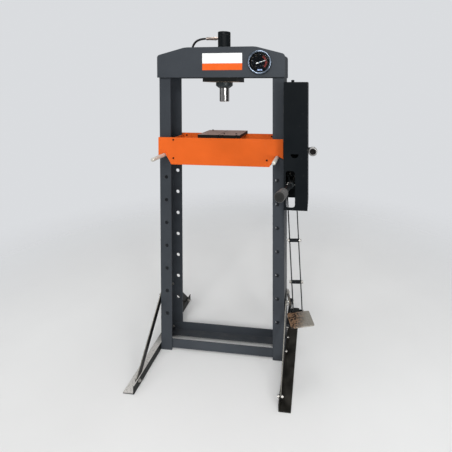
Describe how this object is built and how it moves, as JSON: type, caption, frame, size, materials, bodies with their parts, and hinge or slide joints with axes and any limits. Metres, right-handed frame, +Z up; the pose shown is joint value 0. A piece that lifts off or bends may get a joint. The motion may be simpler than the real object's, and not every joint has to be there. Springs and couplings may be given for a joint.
{
  "type": "hydraulic shop press",
  "caption": "Floor-standing hydraulic H-frame shop press with a pressure gauge, a pinned height-adjustable bed, loose arbor plates, and a lever and foot pedal pump.",
  "frame": {"origin": "centre of the ram tip's flat working face, on the ram's axis, with the ram fully retracted; the floor is 1.443 m below it at z = -1.443", "axes": "+Z up along the ram's axis, +X to the right towards the pump side, -Y towards the operator"},
  "size_m": [0.9603, 1.0784, 1.848],
  "materials": {
    "slate_paint": "semi-gloss slate grey enamel",
    "black_paint": "satin black enamel",
    "orange_paint": "semi-gloss orange enamel",
    "bright_steel": "bare or zinc-plated steel",
    "chrome": "polished",
    "plate_steel": "bare, ground on top",
    "brass": "turned",
    "rubber": "matt black rubber",
    "dial_black": "matt black",
    "pointer_white": "matt white",
    "glass": "clear"
  },
  "bodies": {
    "frame": {"left_upright": "slate_paint", "right_upright": "slate_paint", "crown_front_plate": "slate_paint", "crown_back_plate": "slate_paint", "crown_left_rib": "slate_paint", "crown_right_rib": "slate_paint", "cylinder_mounting_plate": "black_paint", "front_base_rail": "slate_paint", "rear_base_rail": "slate_paint", "left_foot": "black_paint", "right_foot": "black_paint", "left_front_brace": "black_paint", "left_rear_brace": "black_paint", "right_front_brace": "black_paint", "right_rear_brace": "black_paint", "cylinder_barrel": "black_paint", "cylinder_cap": "black_paint", "gland_nut": "black_paint", "cylinder_port_adapter": "brass", "ram_return_spring": "bright_steel", "hydraulic_hose": "rubber", "gauge_pipe": "brass", "gauge_case": "dial_black", "gauge_bezel": "chrome", "gauge_glass": "glass", "gauge_dial": "dial_black", "pump_cover": "black_paint", "oil_tank": "black_paint", "pump_body": "black_paint", "pump_mounting_plate": "black_paint", "lever_pivot_pin": "bright_steel", "pedal_bracket": "black_paint", "pedal_pivot_bolt": "bright_steel", "pedal_return_spring": "bright_steel"},
    "ram": {"ram": "chrome", "piston": "bright_steel", "piston_seal": "rubber"},
    "bed": {"bed_front_plate": "orange_paint", "bed_rear_plate": "orange_paint", "bed_left_spacer": "orange_paint", "bed_right_spacer": "orange_paint"},
    "left_pin": {"bed_left_pin": "bright_steel"},
    "right_pin": {"bed_right_pin": "bright_steel"},
    "left_arbor": {"left_arbor_plate": "plate_steel"},
    "right_arbor": {"right_arbor_plate": "plate_steel"},
    "pump_lever": {"pump_lever": "black_paint", "lever_link_pin": "bright_steel"},
    "hand_lever": {"hand_lever": "black_paint", "hand_lever_grip": "rubber"},
    "link": {"left_link_strap": "black_paint", "right_link_strap": "black_paint", "upper_link_spacer": "black_paint", "lower_link_spacer": "black_paint"},
    "pedal": {"pedal_arm": "black_paint", "pedal_tread": "plate_steel", "pedal_link_pin": "bright_steel"},
    "plunger": {"pump_plunger": "bright_steel"},
    "release_knob": {"release_knob": "bright_steel"},
    "filler_cap": {"filler_cap": "black_paint"},
    "pointer": {"gauge_pointer": "pointer_white"}
  },
  "joints": [
    {"name": "ram_slide", "type": "slide", "parent": "frame", "child": "ram", "axis": [0, 0, -1], "range_m": [0, 0.15], "deforming": ["ram_return_spring"]},
    {"name": "bed_slide", "type": "slide", "parent": "frame", "child": "bed", "axis": [0, 0, 1], "range_m": [-0.795, 0]},
    {"name": "left_pin_pull", "type": "slide", "parent": "bed", "child": "left_pin", "axis": [0, -1, 0], "range_m": [0, 0.25]},
    {"name": "right_pin_pull", "type": "slide", "parent": "bed", "child": "right_pin", "axis": [0, -1, 0], "range_m": [0, 0.25]},
    {"name": "left_arbor_slide", "type": "slide", "parent": "bed", "child": "left_arbor", "axis": [1, 0, 0], "range_m": [-0.15, 0]},
    {"name": "right_arbor_slide", "type": "slide", "parent": "bed", "child": "right_arbor", "axis": [1, 0, 0], "range_m": [0, 0.15]},
    {"name": "pedal_press", "type": "hinge", "parent": "frame", "child": "pedal", "pos_m": [0.3935, -0.02, -1.1414], "axis": [1, 0, 0], "range_deg": [0, 30], "deforming": ["pedal_return_spring"]},
    {"name": "pump_lever_swing", "type": "hinge", "parent": "frame", "child": "pump_lever", "pos_m": [0.4055, -0.02, -0.458], "axis": [1, 0, 0], "range_deg": [0, 30]},
    {"name": "link_swing", "type": "hinge", "parent": "pump_lever", "child": "link", "pos_m": [0.4055, -0.13, -0.4346], "axis": [1, 0, 0], "range_deg": [-30, 0]},
    {"name": "plunger_slide", "type": "slide", "parent": "frame", "child": "plunger", "axis": [0, 0, 1], "range_m": [0, 0.0185]},
    {"name": "hand_lever_pull", "type": "slide", "parent": "pump_lever", "child": "hand_lever", "axis": [0, -0.9781, 0.2079], "range_m": [0, 0.1]},
    {"name": "release_knob_turn", "type": "hinge", "parent": "frame", "child": "release_knob", "pos_m": [0.5163, -0.045, -0.2605], "axis": [0, -1, 0], "range_deg": [0, 180]},
    {"name": "pointer_turn", "type": "hinge", "parent": "frame", "child": "pointer", "pos_m": [0.227, -0.0986, 0.219], "axis": [0, 1, 0], "range_deg": [-208, 62]},
    {"name": "filler_cap_lift", "type": "slide", "parent": "frame", "child": "filler_cap", "axis": [0, 0, 1], "range_m": [0, 0.05]}
  ],
  "couplings": [
    {"joint": "pump_lever_swing", "follows": "pedal_press", "ratio": 1},
    {"joint": "link_swing", "follows": "pedal_press", "ratio": -1},
    {"joint": "plunger_slide", "follows": "pedal_press", "m_per_rad": 0.0351}
  ]
}
